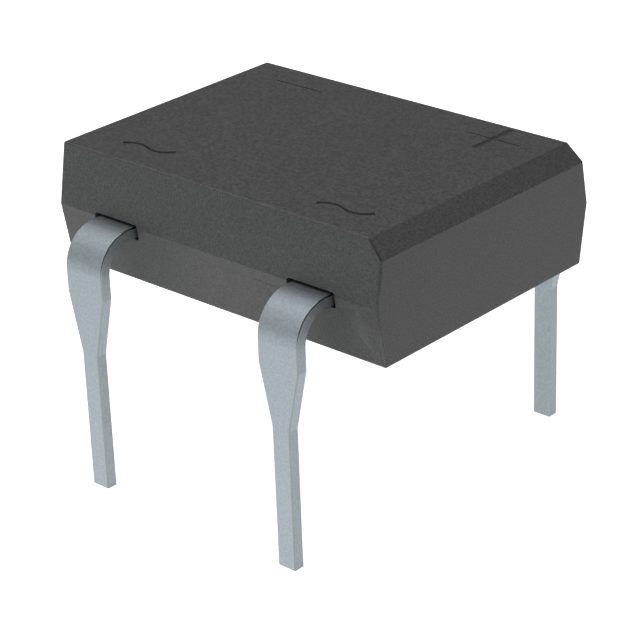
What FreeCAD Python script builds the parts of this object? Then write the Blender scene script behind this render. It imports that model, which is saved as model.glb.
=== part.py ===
import FreeCAD, Part
import math
import os
from FreeCAD import Vector

# Four-lead bridge rectifier in a moulded dual-in-line body, in millimetres.
# X runs along the long side of the body, the two alternating-current leads
# come out at -Y, the two direct-current leads at +Y, and Z is up.
# The origin lies between the lead tips, on the plane that they stand on.

# Moulded body
body_length = 8.27
body_width = 6.32           # at the parting plane, where it is widest
body_height = 2.48
side_draft = 10.0           # degrees, on the two long sides, above and below
stand_off = 4.225           # underside of the body above the lead tips
end_chamfer = 0.34          # along the top edge of the +X end
body_edge_radius = 0.05

# Leads, stamped from strip and bent down
strip_thickness = 0.23
lead_pitch = 5.08           # between the two leads of one row
lead_width = 0.985          # at the body
pin_width = 0.43            # of the part that goes through the board
pin_length = 2.96           # of that part, up to its taper
taper_length = 1.25
bend_radius = 0.55          # inside the bend
lead_run = 0.155            # straight, between the body and the bend
taper_corner_radius = 0.08
tip_radius = 0.03
lead_edge_radius = 0.03

# Pockets that the mould leaves round the leads
exit_clearance = 0.06       # above a lead
exit_under_clearance = 0.04
exit_side_clearance = 0.09
exit_corner_radius = 0.06
exit_depth = 0.18

# Lead frame inside the body
pad_end_wall = 0.74         # from the end of the body to the pads
pad_side_wall = 1.16        # from the side of the body to the pads
row_gap = 0.5               # between the front pads and the back pad
front_pad_gap = 0.6         # between the two front pads
frame_gap = 0.24            # between the stub and the back pad
pad_corner_radius = 0.12
stub_width = 1.2
stub_wall = 0.76            # from the side of the body to the stub's pad
stub_depth = 1.1

# Silicon dice
die_size = 1.3
die_thickness = 0.26
die_bevel = 0.1             # round the top, where the glass rim lies
back_die_spacing = 1.9

# Solder joints
solder_thickness = 0.04
die_pad_margin = 0.05       # of the solder under a die, inside its edge
contact_margin = 0.15       # of the solder on a die, inside its bevel

# Jumpers, stamped from thinner strip
jumper_thickness = 0.2
jumper_neck = 0.6
jumper_foot = 0.5
jumper_step = 0.2           # length of the slope down to the foot
jumper_clearance = 0.1      # from the pad's edge to the slope
jumper_corner_radius = 0.1
bar_width = 0.5             # of the bar that joins the two front dice

# Heights
body_bottom = stand_off
body_top = stand_off + body_height
parting_height = stand_off + body_height / 2
frame_top = parting_height
frame_bottom = frame_top - strip_thickness
die_bottom = frame_top + solder_thickness
die_top = die_bottom + die_thickness
jumper_low = frame_top + solder_thickness
jumper_high = die_top + solder_thickness

# Places across the body
half_length = body_length / 2
half_width = body_width / 2
lead_x = lead_pitch / 2
bend_start = half_width + lead_run
bend_outer_radius = bend_radius + strip_thickness
lead_outer = bend_start + bend_outer_radius
lead_inner = lead_outer - strip_thickness
pad_end = half_length - pad_end_wall
pad_side = half_width - pad_side_wall
pad_near = row_gap / 2
die_y = (pad_side + pad_near) / 2
back_die_x = back_die_spacing / 2
contact_size = die_size - 2 * die_bevel - 2 * contact_margin
stub_side = half_width - stub_wall

# Places along the jumpers' slopes and feet
side_slope = -pad_near + jumper_step / 2 - jumper_clearance
side_foot = side_slope - jumper_step
side_foot_end = side_foot - jumper_foot
stub_slope = stub_side - stub_depth - jumper_clearance
stub_foot = stub_slope + jumper_step
stub_foot_end = stub_foot + jumper_foot


def box(x0, x1, y0, y1, z0, z1):
    """A block between two values on each axis."""
    return Part.makeBox(x1 - x0, y1 - y0, z1 - z0, Vector(x0, y0, z0))


def prism(corners, direction):
    """A flat outline with straight sides, extruded."""
    return Part.Face(Part.makePolygon(corners + corners[:1])).extrude(direction)


def upright_edges(shape):
    """The straight edges of a shape that run along Z."""
    edges = []
    for edge in shape.Edges:
        ends = [vertex.Point for vertex in edge.Vertexes]
        if len(ends) == 2 and abs(abs((ends[1] - ends[0]).z) - edge.Length) < 1e-6:
            edges.append(edge)
    return edges


def rounded_plate(x0, x1, y0, y1, z0, z1, radius):
    """A block with its upright corners rounded."""
    block = box(x0, x1, y0, y1, z0, z1)
    return block.makeFillet(radius, upright_edges(block))


def body_block():
    """The outside of the moulding: drafted long sides, plain ends, one top edge bevelled."""
    inset = body_height / 2 * math.tan(math.radians(side_draft))
    narrow = half_width - inset
    corners = [
        Vector(-half_length, -narrow, body_bottom),
        Vector(-half_length, narrow, body_bottom),
        Vector(-half_length, half_width, parting_height),
        Vector(-half_length, narrow, body_top),
        Vector(-half_length, -narrow, body_top),
        Vector(-half_length, -half_width, parting_height),
    ]
    block = prism(corners, Vector(body_length, 0, 0))
    wedge = prism(
        [
            Vector(half_length, -half_width, body_top - end_chamfer),
            Vector(half_length, -half_width, body_top),
            Vector(half_length - end_chamfer, -half_width, body_top),
        ],
        Vector(0, body_width, 0),
    )
    block = block.cut(wedge)
    return block.makeFillet(body_edge_radius, outer_edges(block))


def outer_edges(block):
    """Every edge of the moulding apart from the parting line on its long sides."""
    edges = []
    for edge in block.Edges:
        ends = [vertex.Point for vertex in edge.Vertexes]
        on_parting = all(abs(end.z - parting_height) < 1e-6 for end in ends)
        if not on_parting:
            edges.append(edge)
    return edges


def exit_pocket(x, side):
    """The shallow clearance round a lead where it leaves the body."""
    half = lead_width / 2 + exit_side_clearance
    y_inner = side * (half_width - exit_depth)
    y_outer = side * (half_width + exit_depth)
    pocket = box(
        x - half,
        x + half,
        min(y_inner, y_outer),
        max(y_inner, y_outer),
        frame_bottom - exit_under_clearance,
        frame_top + exit_clearance,
    )
    corners = [edge for edge in pocket.Edges if edge.BoundBox.YLength > exit_depth]
    return pocket.makeFillet(exit_corner_radius, corners)


def bent_strip(x, start):
    """A strip on the +Y side, flat from start to the bend and then down to the tip."""
    axis_z = frame_top - bend_outer_radius
    slant = math.sqrt(0.5)
    axis = Vector(0, bend_start, axis_z)
    outer_middle = axis + Vector(0, slant, slant) * bend_outer_radius
    inner_middle = axis + Vector(0, slant, slant) * bend_radius
    outer_arc = Part.Arc(Vector(0, bend_start, frame_top), outer_middle, Vector(0, lead_outer, axis_z))
    inner_arc = Part.Arc(Vector(0, lead_inner, axis_z), inner_middle, Vector(0, bend_start, frame_bottom))
    edges = [
        Part.makeLine(Vector(0, start, frame_top), Vector(0, bend_start, frame_top)),
        outer_arc.toShape(),
        Part.makeLine(Vector(0, lead_outer, axis_z), Vector(0, lead_outer, 0)),
        Part.makeLine(Vector(0, lead_outer, 0), Vector(0, lead_inner, 0)),
        Part.makeLine(Vector(0, lead_inner, 0), Vector(0, lead_inner, axis_z)),
        inner_arc.toShape(),
        Part.makeLine(Vector(0, bend_start, frame_bottom), Vector(0, start, frame_bottom)),
        Part.makeLine(Vector(0, start, frame_bottom), Vector(0, start, frame_top)),
    ]
    face = Part.Face(Part.Wire(edges))
    face.translate(Vector(x - lead_width / 2, 0, 0))
    return face.extrude(Vector(lead_width, 0, 0))


def stamped_front(x):
    """The lead's outline seen from the side of the body: wide, tapered, then the pin."""
    wide = lead_width / 2
    narrow = pin_width / 2
    taper_top = pin_length + taper_length
    corners = [
        Vector(x - narrow, 0, 0),
        Vector(x + narrow, 0, 0),
        Vector(x + narrow, 0, pin_length),
        Vector(x + wide, 0, taper_top),
        Vector(x + wide, 0, frame_top),
        Vector(x - wide, 0, frame_top),
        Vector(x - wide, 0, taper_top),
        Vector(x - narrow, 0, pin_length),
    ]
    return prism(corners, Vector(0, lead_outer, 0))


def is_through(edge):
    """True for a short edge that runs through the thickness of the hanging strip."""
    bounds = edge.BoundBox
    square = bounds.XLength < 1e-6 and bounds.ZLength < 1e-6
    return square and abs(bounds.YLength - strip_thickness) < 1e-6


def tip_edges(lead):
    """The two corners at the tip of the pin."""
    return [edge for edge in lead.Edges if is_through(edge) and edge.BoundBox.ZMax < 1e-6]


def taper_edges(lead):
    """The four corners at the ends of the taper."""
    edges = []
    for edge in lead.Edges:
        height = edge.BoundBox.ZMin
        if is_through(edge) and pin_length - 1e-6 < height < pin_length + taper_length + 1e-6:
            edges.append(edge)
    return edges


def rolled_edges(lead):
    """Both long edges of the strip's outer face, which the stamping rounds."""
    edges = []
    for edge in lead.Edges:
        bounds = edge.BoundBox
        on_face = abs(bounds.YMin - lead_outer) < 1e-6
        on_top = abs(bounds.ZMin - frame_top) < 1e-6
        on_bend = abs(bounds.YMin - bend_start) < 1e-6 and abs(bounds.YMax - lead_outer) < 1e-6
        lies_across = bounds.YLength < 1e-6 and bounds.ZLength < 1e-6
        if (on_face or on_top or on_bend) and not lies_across:
            edges.append(edge)
    return edges


def outer_lead(x):
    """The part of a +Y lead that shows, from inside the exit pocket to the tip."""
    lead = bent_strip(x, half_width - exit_depth).common(stamped_front(x))
    lead = lead.makeFillet(tip_radius, tip_edges(lead))
    lead = lead.makeFillet(taper_corner_radius, taper_edges(lead))
    return lead.makeFillet(lead_edge_radius, rolled_edges(lead))


def on_row(shape, side):
    """Turns a piece made for the +Y row to the row on the given side."""
    if side < 0:
        return shape.mirror(Vector(0, 0, 0), Vector(0, 1, 0))
    return shape


def make_lead(x, side, pad, pad_edge):
    """One lead with its neck and its pad inside the body, all one piece of strip."""
    half = lead_width / 2
    neck = box(x - half, x + half, pad_edge, half_width - exit_depth, frame_bottom, frame_top)
    lead = outer_lead(x).fuse(neck)
    lead = on_row(lead, side).fuse(pad)
    return lead.removeSplitter()


def front_pad(side):
    """The pad of an alternating-current lead, at the left or the right of the front row."""
    near = side * front_pad_gap / 2
    far = side * pad_end
    return rounded_plate(
        min(near, far), max(near, far), -pad_side, -pad_near, frame_bottom, frame_top, pad_corner_radius
    )


def back_pad():
    """The pad that carries both dice of the positive lead."""
    left = -lead_x + stub_width / 2 + frame_gap
    return rounded_plate(left, pad_end, pad_near, pad_side, frame_bottom, frame_top, pad_corner_radius)


def stub_pad():
    """The small pad at the end of the negative lead."""
    half = stub_width / 2
    return rounded_plate(
        -lead_x - half,
        -lead_x + half,
        stub_side - stub_depth,
        stub_side,
        frame_bottom,
        frame_top,
        pad_corner_radius,
    )


def make_die(x, y):
    """A square silicon die with its glass-covered bevel round the top."""
    half = die_size / 2
    block = box(x - half, x + half, y - half, y + half, die_bottom, die_top)
    rim = [edge for edge in block.Edges if edge.BoundBox.ZMin > die_top - die_thickness / 2]
    return block.makeChamfer(die_bevel, rim)


def square_joint(x, y, size, z):
    """A flat solder joint of square outline."""
    half = size / 2
    return box(x - half, x + half, y - half, y + half, z, z + solder_thickness)


def step_profile(high_end, slope_high, slope_low, low_end):
    """A jumper's strip seen from the side: high over the die, sloped, then low at the foot."""
    slope = math.atan2(jumper_high - jumper_low, abs(slope_low - slope_high))
    lag = math.copysign(jumper_thickness * math.tan(slope / 2), slope_low - slope_high)
    corners = [
        Vector(-half_length, high_end, jumper_high),
        Vector(-half_length, slope_high, jumper_high),
        Vector(-half_length, slope_low, jumper_low),
        Vector(-half_length, low_end, jumper_low),
        Vector(-half_length, low_end, jumper_low + jumper_thickness),
        Vector(-half_length, slope_low + lag, jumper_low + jumper_thickness),
        Vector(-half_length, slope_high + lag, jumper_high + jumper_thickness),
        Vector(-half_length, high_end, jumper_high + jumper_thickness),
    ]
    return prism(corners, Vector(body_length, 0, 0))


def flat_outline(blocks):
    """The jumper's outline seen from above, as a block to cut the bent strip with."""
    outline = blocks[0].multiFuse(blocks[1:]).removeSplitter()
    return outline.makeFillet(jumper_corner_radius, outline_corners(outline))


def outline_corners(outline):
    """The upright edges at the outside corners of a flat outline."""
    corners = []
    for edge in upright_edges(outline):
        point = edge.Vertexes[0].Point
        middle = Vector(point.x, point.y, parting_height)
        reach = jumper_corner_radius / 2
        covered = 0
        for dx in (-reach, reach):
            for dy in (-reach, reach):
                if outline.isInside(middle + Vector(dx, dy, 0), 1e-6, False):
                    covered += 1
        if covered == 1:
            corners.append(edge)
    return corners


def column(x0, x1, y0, y1):
    """A block as tall as the body, used to draw an outline from above."""
    return box(x0, x1, y0, y1, body_bottom, body_top)


def make_side_jumper(side):
    """The jumper from the top of a back die to the pad of the front lead beside it."""
    x = side * back_die_x
    contact = die_size / 2 - die_bevel
    strip = step_profile(die_y + contact, side_slope, side_foot, side_foot_end)
    outline = flat_outline(
        [
            column(x - contact, x + contact, die_y - contact, die_y + contact),
            column(x - jumper_neck / 2, x + jumper_neck / 2, side_foot_end, die_y),
        ]
    )
    return strip.common(outline)


def make_negative_jumper():
    """The jumper that joins the tops of both front dice to the negative lead."""
    contact = die_size / 2 - die_bevel
    front = -die_y - contact
    strip = step_profile(front, stub_slope, stub_foot, stub_foot_end)
    outline = flat_outline(
        [
            column(-lead_x - contact, -lead_x + contact, front, -die_y + contact),
            column(lead_x - contact, lead_x + contact, front, -die_y + contact),
            column(-lead_x, lead_x, front, front + bar_width),
            column(-lead_x - jumper_neck / 2, -lead_x + jumper_neck / 2, -die_y, stub_foot_end),
        ]
    )
    return strip.common(outline)


def foot_joint(x, y0, y1):
    """The solder joint under a jumper's foot, between two places on Y."""
    half = jumper_neck / 2
    return box(x - half, x + half, y0, y1, frame_top, jumper_low)


def make_nodes():
    """Every piece of the rectifier by name."""
    nodes = {}
    nodes["lead_positive"] = make_lead(lead_x, 1, back_pad(), pad_side)
    nodes["lead_negative"] = make_lead(-lead_x, 1, stub_pad(), stub_side)
    nodes["lead_ac_left"] = make_lead(-lead_x, -1, front_pad(-1), pad_side)
    nodes["lead_ac_right"] = make_lead(lead_x, -1, front_pad(1), pad_side)
    dice = {
        "back_left": (-back_die_x, die_y),
        "back_right": (back_die_x, die_y),
        "front_left": (-lead_x, -die_y),
        "front_right": (lead_x, -die_y),
    }
    for place, (x, y) in dice.items():
        nodes["die_" + place] = make_die(x, y)
        nodes["solder_under_die_" + place] = square_joint(x, y, die_size - 2 * die_pad_margin, frame_top)
        nodes["solder_on_die_" + place] = square_joint(x, y, contact_size, die_top)
    nodes["jumper_left"] = make_side_jumper(-1)
    nodes["jumper_right"] = make_side_jumper(1)
    nodes["jumper_negative"] = make_negative_jumper()
    nodes["solder_foot_left"] = foot_joint(-back_die_x, side_foot_end, side_foot)
    nodes["solder_foot_right"] = foot_joint(back_die_x, side_foot_end, side_foot)
    nodes["solder_foot_negative"] = foot_joint(-lead_x, stub_foot, stub_foot_end)
    pieces = list(nodes.values())
    body = body_block()
    for x in (-lead_x, lead_x):
        for side in (-1, 1):
            body = body.cut(exit_pocket(x, side))
    nodes["moulded_body"] = body.cut(pieces[0].multiFuse(pieces[1:]))
    return nodes


os.makedirs("parts", exist_ok=True)
for name, shape in make_nodes().items():
    print(name, len(shape.Solids), shape.isValid(), round(shape.Volume, 4))
    shape.exportStep("parts/" + name + ".step")
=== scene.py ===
import math

import bmesh
import bpy
from mathutils import Matrix, Vector


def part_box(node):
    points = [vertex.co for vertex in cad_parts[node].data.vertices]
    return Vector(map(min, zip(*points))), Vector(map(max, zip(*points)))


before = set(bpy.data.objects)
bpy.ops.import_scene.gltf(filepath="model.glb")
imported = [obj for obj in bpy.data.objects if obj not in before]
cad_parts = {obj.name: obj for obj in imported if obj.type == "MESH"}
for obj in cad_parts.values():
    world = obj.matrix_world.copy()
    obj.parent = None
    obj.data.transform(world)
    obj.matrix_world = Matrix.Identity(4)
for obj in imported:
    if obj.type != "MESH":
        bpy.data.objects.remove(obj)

MM = 0.001

# Lengths read from the frame, in metres
BODY_LOW, BODY_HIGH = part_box("moulded_body")
BODY_MIDDLE = (BODY_LOW + BODY_HIGH) / 2
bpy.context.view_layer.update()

# Camera, as the photograph was taken, with its place in metres
IMAGE_WIDTH = 640
SENSOR_WIDTH = 36.0
FOCAL_PIXELS = 2369.14
CAMERA_AZIMUTH = math.radians(42.647)
CAMERA_ELEVATION = math.radians(25.256)
CAMERA_ROLL = math.radians(-2.0945)
CAMERA_DISTANCE = 55.79 * MM
CAMERA_TARGET = Vector((-5.074, 5.344, -0.564)) * MM
CAMERA_CLIPS = (1 * MM, 10)

# Signs pressed into the top of the body, in grooves that narrow by the taper
SIGN_X = 2.54 * MM
SIGN_Y = 2.212 * MM
SIGN_DEPTH = 0.05 * MM
SIGN_TAPER = 0.6
WELD_DISTANCE = 0.0001 * MM
MINUS_LENGTH = 1.24 * MM
MINUS_WIDTH = 0.033 * MM
PLUS_LENGTHS = (1.3 * MM, 1.18 * MM)
PLUS_WIDTHS = (0.042 * MM, 0.13 * MM)
PLUS_DEPTH = 0.02 * MM
TILDE_Y = 2.18 * MM
TILDE_RADIUS = 0.48 * MM
TILDE_SLOPE = math.radians(-20)
TILDE_END_SLOPES = (math.radians(40), math.radians(49))
TILDE_STRAIGHT = 0.13 * MM
TILDE_STEPS = 12
TILDE_WIDTHS = (0.06 * MM, 0.11 * MM)

# Bands of a noise texture's values over which a colour changes
WIDE_BAND = (0.3, 0.7)
NARROW_BAND = (0.35, 0.65)

# A face looks along an axis once that part of its direction is between these limits or past them
FACE_ON = (0.8, 0.95)

# Black moulding compound
SIDE_GRAIN = 0.036 * MM
TOP_GRAIN = 0.053 * MM
GRAIN_CONTRAST = (0.08, 0.92)
GRAIN_HEIGHT = 0.0016 * MM
GRAIN_STRENGTH = 0.4
CLOUD_SIZE = 1.6 * MM
CLOUD_GREYS = (0.97, 1)
EPOXY_GREYS = (0.0585, 0.102)
EPOXY_ROUGHNESS = (0.41, 0.47)
EPOXY_SPECULAR = 0.255
GROOVE_GRAIN = 0.02 * MM
# Painted shade in the sign grooves: greys darker than the face round them
GROOVE_SHADE_GREYS = (0.044, 0.060)
GROOVE_ROUGHNESS = 0.8
GROOVE_SPECULAR = 0.2

# Matte tin, with the heights over the parting plane between which the painted shade on a bend's sides comes
# and goes
CRYSTAL_SIZE = 0.05 * MM
CRYSTAL_HEIGHT = 0.0015 * MM
LINE_SIZE = 0.03 * MM
LINE_STRETCH = (1, 1, 0.06)
LINE_HEIGHT = 0.0012 * MM
TIN_STRENGTH = 0.35
TIN_COLOURS = ((0.275, 0.310, 0.332), (0.327, 0.367, 0.392))
TIN_ROUGHNESS = (0.46, 0.58)
# A painted dark reflection on the leads' rounded edges, which are also less rough
EDGE_PAINTED_REFLECTION = (0.2, 0.211, 0.208)
EDGE_POLISH = -0.36
BEND_STARTS = (-0.1 * MM, -0.35 * MM)
BEND_ENDS = (-0.8 * MM, -0.65 * MM)

# Bare metals and silicon inside the body
METAL_HEIGHT = 0.001 * MM
METAL_STRENGTH = 0.3
METAL_SHEEN = 0.06
COPPER_COLOURS = ((0.62, 0.33, 0.22), (0.74, 0.43, 0.30))
COPPER_GRAIN = 0.05 * MM
COPPER_ROUGHNESS = 0.35
SOLDER_COLOURS = ((0.48, 0.49, 0.50), (0.58, 0.59, 0.60))
SOLDER_GRAIN = 0.04 * MM
SOLDER_ROUGHNESS = 0.45
SAW_SIZE = 0.02 * MM
SAW_STRETCH = (1, 0.1, 1)
SILICON_COLOURS = ((0.07, 0.075, 0.09), (0.11, 0.115, 0.135))
SILICON_ROUGHNESS = (0.25, 0.4)

# Floor, with its sizes in metres and its glow as levels where 1 is white
FLOOR_SIZE = 1.2
BACKDROP_HEIGHT = 0.1
FLOOR_COLOUR = 0.9
FLOOR_ROUGHNESS = 0.9
SEEN_GLOW = 0.8
# A painted pool of light: in mirrored rays the glow runs from the first level near the part to the second
# beyond the reach
MIRRORED_GLOWS = (1.0, 0.4)
MIRRORED_REACH = (5 * MM, 36 * MM)

# Light, with each lamp's direction from the body, its power in watts and whether it is mirrored
SKY_LEVEL = 0.1
LAMP_DISTANCE = 100 * MM
LAMP_SIZE = 90 * MM
LAMPS = {
    "soft_box_left": ((-0.6, -0.1, 0.79), 0.0321, True),
    "soft_box_front": ((-0.25, -0.77, 0.58), 0.0312, True),
    "soft_box_over": ((0, 0, 1), 0.0325, True),
    "soft_box_behind": ((0.43, 0.66, 0.61), 0.0045, True),
    "soft_box_right": ((0.8, -0.3, 0.5), 0.018, False),
}


def add_camera():
    """The camera at the photograph's angle, framing and focal length."""
    back = Vector((
        math.sin(CAMERA_AZIMUTH) * math.cos(CAMERA_ELEVATION),
        -math.cos(CAMERA_AZIMUTH) * math.cos(CAMERA_ELEVATION),
        math.sin(CAMERA_ELEVATION),
    ))
    right = (-back).cross(Vector((0, 0, 1))).normalized()
    up = right.cross(-back)
    turn_right = right * math.cos(CAMERA_ROLL) + up * math.sin(CAMERA_ROLL)
    turn_up = up * math.cos(CAMERA_ROLL) - right * math.sin(CAMERA_ROLL)
    data = bpy.data.cameras.new("camera")
    data.sensor_width = SENSOR_WIDTH
    data.lens = FOCAL_PIXELS / IMAGE_WIDTH * SENSOR_WIDTH
    data.clip_start, data.clip_end = CAMERA_CLIPS
    camera = bpy.data.objects.new("camera", data)
    camera.matrix_world = Matrix((
        (turn_right.x, turn_up.x, back.x, 0),
        (turn_right.y, turn_up.y, back.y, 0),
        (turn_right.z, turn_up.z, back.z, 0),
        (0, 0, 0, 1),
    ))
    camera.location = CAMERA_TARGET + back * CAMERA_DISTANCE
    bpy.context.scene.collection.objects.link(camera)
    bpy.context.scene.camera = camera


def new_material(name):
    """An empty node material, its node tree and its Principled shader."""
    material = bpy.data.materials.new(name)
    material.use_nodes = True
    tree = material.node_tree
    tree.nodes.clear()
    output = tree.nodes.new("ShaderNodeOutputMaterial")
    shader = tree.nodes.new("ShaderNodeBsdfPrincipled")
    tree.links.new(shader.outputs["BSDF"], output.inputs["Surface"])
    return material, tree, shader


def grey(level):
    """A colour without a tint."""
    return (level, level, level)


def noise(tree, size, detail, stretch=(1, 1, 1)):
    """A noise texture whose spots are about size metres across, in the object's own space."""
    place = tree.nodes.new("ShaderNodeTexCoord")
    mapping = tree.nodes.new("ShaderNodeMapping")
    mapping.inputs["Scale"].default_value = stretch
    texture = tree.nodes.new("ShaderNodeTexNoise")
    texture.inputs["Scale"].default_value = 1 / size
    texture.inputs["Detail"].default_value = detail
    tree.links.new(place.outputs["Object"], mapping.inputs["Vector"])
    tree.links.new(mapping.outputs["Vector"], texture.inputs["Vector"])
    return texture.outputs["Fac"]


def ramp(tree, value, band, colours):
    """A colour that runs from the first to the second as value crosses the band."""
    node = tree.nodes.new("ShaderNodeValToRGB")
    for element, position, colour in zip(node.color_ramp.elements, band, colours):
        element.position = position
        element.color = (*colour, 1)
    tree.links.new(value, node.inputs["Fac"])
    return node.outputs["Color"]


def span(tree, value, low, high):
    """Turns a value from 0 to 1 into one from low to high."""
    node = tree.nodes.new("ShaderNodeMapRange")
    node.inputs["To Min"].default_value = low
    node.inputs["To Max"].default_value = high
    tree.links.new(value, node.inputs["Value"])
    return node.outputs["Result"]


def bump(tree, height, distance, strength, normal=None):
    """A bump from a height between 0 and 1, which stands for distance metres."""
    node = tree.nodes.new("ShaderNodeBump")
    node.inputs["Distance"].default_value = distance
    node.inputs["Strength"].default_value = strength
    tree.links.new(height, node.inputs["Height"])
    if normal is not None:
        tree.links.new(normal, node.inputs["Normal"])
    return node.outputs["Normal"]


def math_node(tree, operation, first, second=None):
    """The result of a sum on one or two values, the second of which may be a number."""
    node = tree.nodes.new("ShaderNodeMath")
    node.operation = operation
    tree.links.new(first, node.inputs[0])
    if isinstance(second, float):
        node.inputs[1].default_value = second
    elif second is not None:
        tree.links.new(second, node.inputs[1])
    return node.outputs["Value"]


def product(tree, first, second):
    """One value times another."""
    return math_node(tree, "MULTIPLY", first, second)


def mixed(tree, blend, factor, first, second):
    """Two colours blended by a factor that may be a number."""
    mix = tree.nodes.new("ShaderNodeMix")
    mix.data_type = "RGBA"
    mix.blend_type = blend
    if isinstance(factor, float):
        mix.inputs["Factor"].default_value = factor
    else:
        tree.links.new(factor, mix.inputs["Factor"])
    for value, name in ((first, "A"), (second, "B")):
        if isinstance(value, tuple):
            mix.inputs[name].default_value = (*value, 1)
        else:
            tree.links.new(value, mix.inputs[name])
    return mix.outputs["Result"]


def facing(tree):
    """The X, Y and Z parts of the surface's direction, the first two without their sign."""
    surface = tree.nodes.new("ShaderNodeNewGeometry")
    split = tree.nodes.new("ShaderNodeSeparateXYZ")
    tree.links.new(surface.outputs["Normal"], split.inputs["Vector"])
    x = math_node(tree, "ABSOLUTE", split.outputs["X"])
    y = math_node(tree, "ABSOLUTE", split.outputs["Y"])
    return x, y, split.outputs["Z"]


def smooth_step(tree, value, start, end):
    """0 up to start, 1 from end on, and smooth between them; end may be the lower one."""
    node = tree.nodes.new("ShaderNodeMapRange")
    node.interpolation_type = "SMOOTHSTEP"
    node.inputs["From Min"].default_value = start
    node.inputs["From Max"].default_value = end
    tree.links.new(value, node.inputs["Value"])
    return node.outputs["Result"]


def with_painted_light(tree, colour, shades):
    """A colour times each factor of painted light and shade, as far as its share from 0 to 1 goes."""
    for share, shade in shades:
        colour = mixed(tree, "MULTIPLY", share, colour, shade)
    return colour


def height_over(tree, level):
    """How far a point lies over this level, in metres."""
    place = tree.nodes.new("ShaderNodeTexCoord")
    split = tree.nodes.new("ShaderNodeSeparateXYZ")
    tree.links.new(place.outputs["Object"], split.inputs["Vector"])
    return math_node(tree, "SUBTRACT", split.outputs["Z"], level)


def epoxy():
    """Black moulding compound with the fine grain of a spark-eroded mould, and painted light and shade on
    its faces and edges by the way they face.
    """
    material, tree, shader = new_material("epoxy")
    x, y, z = facing(tree)
    on_top = smooth_step(tree, z, *FACE_ON)
    spots = mixed(tree, "MIX", on_top, noise(tree, SIDE_GRAIN, 1), noise(tree, TOP_GRAIN, 1))
    grain = span(tree, spots, *GRAIN_CONTRAST)
    fine = ramp(tree, grain, NARROW_BAND, [grey(level) for level in EPOXY_GREYS])
    soft = ramp(tree, noise(tree, CLOUD_SIZE, 2), WIDE_BAND, [grey(level) for level in CLOUD_GREYS])
    mottled = mixed(tree, "MULTIPLY", 1.0, fine, soft)
    # Painted light and shade, by the way each face and edge looks
    colour = with_painted_light(tree, mottled, epoxy_painted_light(tree, x, y, z))
    tree.links.new(colour, shader.inputs["Base Color"])
    tree.links.new(span(tree, grain, *EPOXY_ROUGHNESS), shader.inputs["Roughness"])
    shader.inputs["Specular IOR Level"].default_value = EPOXY_SPECULAR
    tree.links.new(bump(tree, grain, GRAIN_HEIGHT, GRAIN_STRENGTH), shader.inputs["Normal"])
    return material


def epoxy_painted_light(tree, x, y, z):
    """Pairs of a share and a factor of painted light and shade, for the body's faces and edges by the way
    they face.
    """
    above = smooth_step(tree, z, -0.1, 0.1)
    below = smooth_step(tree, z, 0.0, -0.15)
    long_side = smooth_step(tree, y, 0.6, 0.9)
    end = smooth_step(tree, x, *FACE_ON)
    upright_edge = smooth_step(tree, product(tree, x, y), 0.1, 0.35)
    long_top_edge = smooth_step(tree, product(tree, y, z), 0.25, 0.45)
    top_corner = smooth_step(tree, product(tree, product(tree, x, y), z), 0.06, 0.14)
    # Painted light and shade: long sides darker over the parting plane and lighter under it, upright edges
    # likewise, and ends, top corners and long top edges darker
    return (
        (product(tree, long_side, above), (0.93, 0.98, 0.953)),
        (product(tree, long_side, below), (1.05, 1.07, 1.05)),
        (product(tree, upright_edge, above), grey(0.8)),
        (product(tree, upright_edge, below), grey(1.4)),
        (end, grey(0.93)),
        (top_corner, grey(0.6)),
        (long_top_edge, grey(0.85)),
    )


def groove():
    """The moulding compound inside a sign, with painted shade: darker than the face round it."""
    material, tree, shader = new_material("groove")
    grain = noise(tree, GROOVE_GRAIN, 2)
    dark = ramp(tree, grain, WIDE_BAND, [grey(level) for level in GROOVE_SHADE_GREYS])
    tree.links.new(dark, shader.inputs["Base Color"])
    shader.inputs["Roughness"].default_value = GROOVE_ROUGHNESS
    shader.inputs["Specular IOR Level"].default_value = GROOVE_SPECULAR
    return material


def tin():
    """Matte tin plating: faintly mottled, with the fine lines of rolled strip, painted light and shade on
    its faces and a painted dark reflection on its rounded edges.
    """
    material, tree, shader = new_material("tin")
    crystal = noise(tree, CRYSTAL_SIZE, 1)
    lines = noise(tree, LINE_SIZE, 2, LINE_STRETCH)
    x, y, z = facing(tree)
    edge = smooth_step(tree, product(tree, x, math_node(tree, "MAXIMUM", y, z)), 0.12, 0.32)
    plated = ramp(tree, crystal, NARROW_BAND, TIN_COLOURS)
    flat = with_painted_light(tree, plated, tin_painted_light(tree, x, z))
    # The rounded edges take a painted dark reflection
    tree.links.new(mixed(tree, "MIX", edge, flat, EDGE_PAINTED_REFLECTION), shader.inputs["Base Color"])
    shader.inputs["Metallic"].default_value = 1
    matte = span(tree, crystal, *TIN_ROUGHNESS)
    polish = product(tree, edge, EDGE_POLISH)
    tree.links.new(math_node(tree, "ADD", matte, polish), shader.inputs["Roughness"])
    rolled = bump(tree, lines, LINE_HEIGHT, TIN_STRENGTH)
    mottled = bump(tree, crystal, CRYSTAL_HEIGHT, TIN_STRENGTH, rolled)
    tree.links.new(mottled, shader.inputs["Normal"])
    return material


def tin_painted_light(tree, x, z):
    """Pairs of a share and a factor of painted light and shade, for a lead's faces by the way they face and
    its bend.
    """
    side_face = smooth_step(tree, x, *FACE_ON)
    height = height_over(tree, BODY_MIDDLE.z)
    bend = product(tree, smooth_step(tree, height, *BEND_ENDS), smooth_step(tree, height, *BEND_STARTS))
    upper = smooth_step(tree, z, 0.8, 0.98)
    under = smooth_step(tree, z, -0.05, -0.2)
    # Painted light and shade: side faces darker, more so in the bend near the body, upward faces darker and
    # faces underneath lighter
    return (
        (side_face, grey(0.9)),
        (product(tree, side_face, bend), grey(0.86)),
        (upper, (0.87, 0.87, 0.88)),
        (under, (1.07, 1.07, 1.09)),
    )


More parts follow.
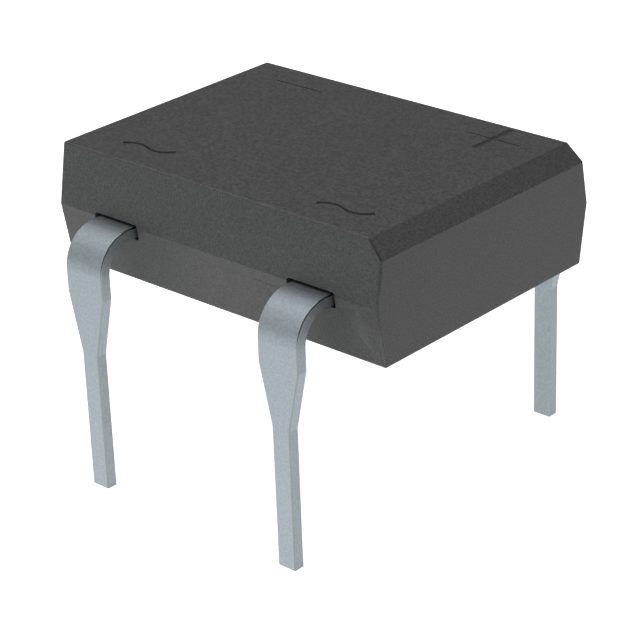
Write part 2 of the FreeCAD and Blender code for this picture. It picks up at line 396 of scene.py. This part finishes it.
def metal(name, colours, size, roughness):
    """A plain bare metal with small spots of colour and sheen."""
    material, tree, shader = new_material(name)
    spots = noise(tree, size, 3)
    tree.links.new(ramp(tree, spots, WIDE_BAND, colours), shader.inputs["Base Color"])
    shader.inputs["Metallic"].default_value = 1
    sheen = span(tree, spots, roughness - METAL_SHEEN, roughness + METAL_SHEEN)
    tree.links.new(sheen, shader.inputs["Roughness"])
    tree.links.new(bump(tree, spots, METAL_HEIGHT, METAL_STRENGTH), shader.inputs["Normal"])
    return material


def silicon():
    """Dark grey sawn silicon."""
    material, tree, shader = new_material("silicon")
    sawn = noise(tree, SAW_SIZE, 2, SAW_STRETCH)
    tree.links.new(ramp(tree, sawn, WIDE_BAND, SILICON_COLOURS), shader.inputs["Base Color"])
    tree.links.new(span(tree, sawn, *SILICON_ROUGHNESS), shader.inputs["Roughness"])
    return material


def dress(prefix, material):
    """Gives every CAD node whose name starts with prefix this material."""
    for name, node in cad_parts.items():
        if name.startswith(prefix):
            node.data.materials.clear()
            node.data.materials.append(material)


def stroke_outline(points, widths):
    """The outline of a stroke along a line of points, with square ends."""
    left, right = [], []
    for i, (point, width) in enumerate(zip(points, widths)):
        before = points[max(i - 1, 0)]
        after = points[min(i + 1, len(points) - 1)]
        along = (after - before).normalized()
        across = Vector((-along.y, along.x)) * width / 2
        end = along * ((i == len(points) - 1) - (i == 0)) * width / 2
        left.append(point + across + end)
        right.append(point - across + end)
    return left + right[::-1]


def plus_outline(centre, lengths, widths):
    """The outline of a plus sign from the lengths and widths of its strokes along X and Y."""
    far_x, far_y = (length / 2 for length in lengths)
    near_y, near_x = (width / 2 for width in widths)
    corners = [(near_x, near_y), (near_x, far_y), (-near_x, far_y)]
    corners += [(-near_x, near_y), (-far_x, near_y), (-far_x, -near_y)]
    corners += [(-x, -y) for x, y in corners]
    return [centre + Vector(corner) for corner in corners]


def tilde_half(end_slope):
    """One half of a tilde, from its middle: half of the straight, then an arc."""
    start = Vector((math.cos(TILDE_SLOPE), math.sin(TILDE_SLOPE))) * TILDE_STRAIGHT / 2
    normal = Vector((-math.sin(TILDE_SLOPE), math.cos(TILDE_SLOPE)))
    pivot = start + normal * TILDE_RADIUS
    points = []
    for i in range(TILDE_STEPS + 1):
        angle = TILDE_SLOPE + (end_slope - TILDE_SLOPE) * i / TILDE_STEPS
        points.append(pivot + Vector((math.sin(angle), -math.cos(angle))) * TILDE_RADIUS)
    return points


def tilde_points(centre):
    """A sloping straight with an arc at each end."""
    left, right = (tilde_half(slope) for slope in TILDE_END_SLOPES)
    return [centre - point for point in left[::-1]] + [centre + point for point in right]


def tilde_widths(count):
    """The width of a tilde at each of its points, thin in the middle and wide at its ends."""
    thin, wide = TILDE_WIDTHS
    return [thin + (wide - thin) * abs(2 * i / (count - 1) - 1) for i in range(count)]


def add_groove(mesh, top_outline, bottom_outline, depth=SIGN_DEPTH):
    """A closed block over the body's top face that narrows down to the groove's floor."""
    top = BODY_HIGH.z + depth
    bottom = BODY_HIGH.z - depth
    upper = [mesh.verts.new((p.x, p.y, top)) for p in top_outline]
    lower = [mesh.verts.new((p.x, p.y, bottom)) for p in bottom_outline]
    mesh.faces.new(upper)
    mesh.faces.new(lower[::-1])
    count = len(upper)
    for i in range(count):
        j = (i + 1) % count
        mesh.faces.new((upper[i], lower[i], lower[j], upper[j]))


def tapered(widths):
    """The widths at a groove's open top and at its floor, for its widths at the body's face."""
    over = [width * (2 - SIGN_TAPER) for width in widths]
    under = [width * SIGN_TAPER for width in widths]
    return over, under


def add_stroke(mesh, points, widths):
    """The groove of one stroke."""
    add_groove(mesh, *(stroke_outline(points, some) for some in tapered(widths)))


def sign_cutter(material):
    """The four polarity signs as one hidden mesh that cuts the body's top."""
    mesh = bmesh.new()
    for side in (-1, 1):
        wave = tilde_points(Vector((side * SIGN_X, -TILDE_Y)))
        add_stroke(mesh, wave, tilde_widths(len(wave)))
    half = Vector((MINUS_LENGTH / 2, 0))
    minus = Vector((-SIGN_X, SIGN_Y))
    add_stroke(mesh, [minus - half, minus + half], [MINUS_WIDTH] * 2)
    plus = Vector((SIGN_X, SIGN_Y))
    outlines = [plus_outline(plus, PLUS_LENGTHS, widths) for widths in tapered(PLUS_WIDTHS)]
    add_groove(mesh, *outlines, PLUS_DEPTH)
    bmesh.ops.recalc_face_normals(mesh, faces=mesh.faces)
    data = bpy.data.meshes.new("sign_cutter")
    mesh.to_mesh(data)
    mesh.free()
    data.materials.append(material)
    cutter = bpy.data.objects.new("sign_cutter", data)
    cutter.hide_render = True
    cutter.hide_viewport = True
    bpy.context.scene.collection.objects.link(cutter)
    return cutter


def press_signs():
    """Cuts the signs into the body."""
    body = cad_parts["moulded_body"]
    weld = body.modifiers.new("weld", "WELD")
    weld.merge_threshold = WELD_DISTANCE
    cut = body.modifiers.new("signs", "BOOLEAN")
    cut.operation = "DIFFERENCE"
    cut.solver = "EXACT"
    cut.object = sign_cutter(groove())
    cut.material_mode = "TRANSFER"


def add_floor(material):
    """The plain pale floor that the part stands on, with a low backdrop all round."""
    data = bpy.data.meshes.new("floor")
    half = FLOOR_SIZE / 2
    square = [(-half, -half), (half, -half), (half, half), (-half, half)]
    corners = [(x, y, z) for z in (0, BACKDROP_HEIGHT) for x, y in square]
    walls = [((i + 1) % 4, i, i + 4, (i + 1) % 4 + 4) for i in range(4)]
    data.from_pydata(corners, [], [(0, 1, 2, 3), *walls])
    floor = bpy.data.objects.new("floor", data)
    data.materials.append(material)
    bpy.context.scene.collection.objects.link(floor)


def floor_glow(tree):
    """The floor's glow: even to the camera, and in mirrored rays a painted pool of light, stronger near the
    part.
    """
    path = tree.nodes.new("ShaderNodeLightPath")
    place = tree.nodes.new("ShaderNodeTexCoord")
    reach = tree.nodes.new("ShaderNodeVectorMath")
    reach.operation = "LENGTH"
    tree.links.new(place.outputs["Object"], reach.inputs[0])
    far = smooth_step(tree, reach.outputs["Value"], *MIRRORED_REACH)
    glow = span(tree, far, *MIRRORED_GLOWS)
    through = math_node(tree, "MAXIMUM", path.outputs["Is Glossy Ray"], path.outputs["Is Transmission Ray"])
    mirrored = product(tree, through, glow)
    seen = product(tree, path.outputs["Is Camera Ray"], SEEN_GLOW)
    return math_node(tree, "MAXIMUM", seen, mirrored)


def floor_material():
    """White paper that keeps the shadow, with a glow for the camera and for mirrored rays."""
    material, tree, shader = new_material("floor")
    shader.inputs["Base Color"].default_value = (*grey(FLOOR_COLOUR), 1)
    shader.inputs["Roughness"].default_value = FLOOR_ROUGHNESS
    shader.inputs["Specular IOR Level"].default_value = 0
    glow = tree.nodes.new("ShaderNodeEmission")
    both = tree.nodes.new("ShaderNodeAddShader")
    tree.links.new(floor_glow(tree), glow.inputs["Strength"])
    material.cycles.emission_sampling = "NONE"
    tree.links.new(shader.outputs["BSDF"], both.inputs[0])
    tree.links.new(glow.outputs["Emission"], both.inputs[1])
    output = next(node for node in tree.nodes if node.type == "OUTPUT_MATERIAL")
    tree.links.new(both.outputs["Shader"], output.inputs["Surface"])
    return material


def add_world():
    """Dim even light from all round."""
    world = bpy.data.worlds.new("studio")
    world.use_nodes = True
    tree = world.node_tree
    tree.nodes.clear()
    background = tree.nodes.new("ShaderNodeBackground")
    background.inputs["Color"].default_value = (*grey(1), 1)
    background.inputs["Strength"].default_value = SKY_LEVEL
    output = tree.nodes.new("ShaderNodeOutputWorld")
    tree.links.new(background.outputs["Background"], output.inputs["Surface"])
    bpy.context.scene.world = world


def add_lamp(name, direction, power, mirrored):
    """A square soft box in this direction from the body, aimed at it."""
    data = bpy.data.lights.new(name, "AREA")
    data.size = LAMP_SIZE
    data.energy = power
    lamp = bpy.data.objects.new(name, data)
    side = Vector(direction).normalized()
    lamp.location = BODY_MIDDLE + side * LAMP_DISTANCE
    lamp.rotation_euler = (-side).to_track_quat("-Z", "Y").to_euler()
    lamp.visible_glossy = mirrored
    bpy.context.scene.collection.objects.link(lamp)


add_camera()
add_world()
for name, (direction, power, mirrored) in LAMPS.items():
    add_lamp(name, direction, power, mirrored)
add_floor(floor_material())

dress("moulded_body", epoxy())
dress("lead_", tin())
dress("jumper_", metal("copper", COPPER_COLOURS, COPPER_GRAIN, COPPER_ROUGHNESS))
dress("solder_", metal("solder", SOLDER_COLOURS, SOLDER_GRAIN, SOLDER_ROUGHNESS))
dress("die_", silicon())
press_signs()

bpy.context.scene.view_settings.view_transform = "Standard"
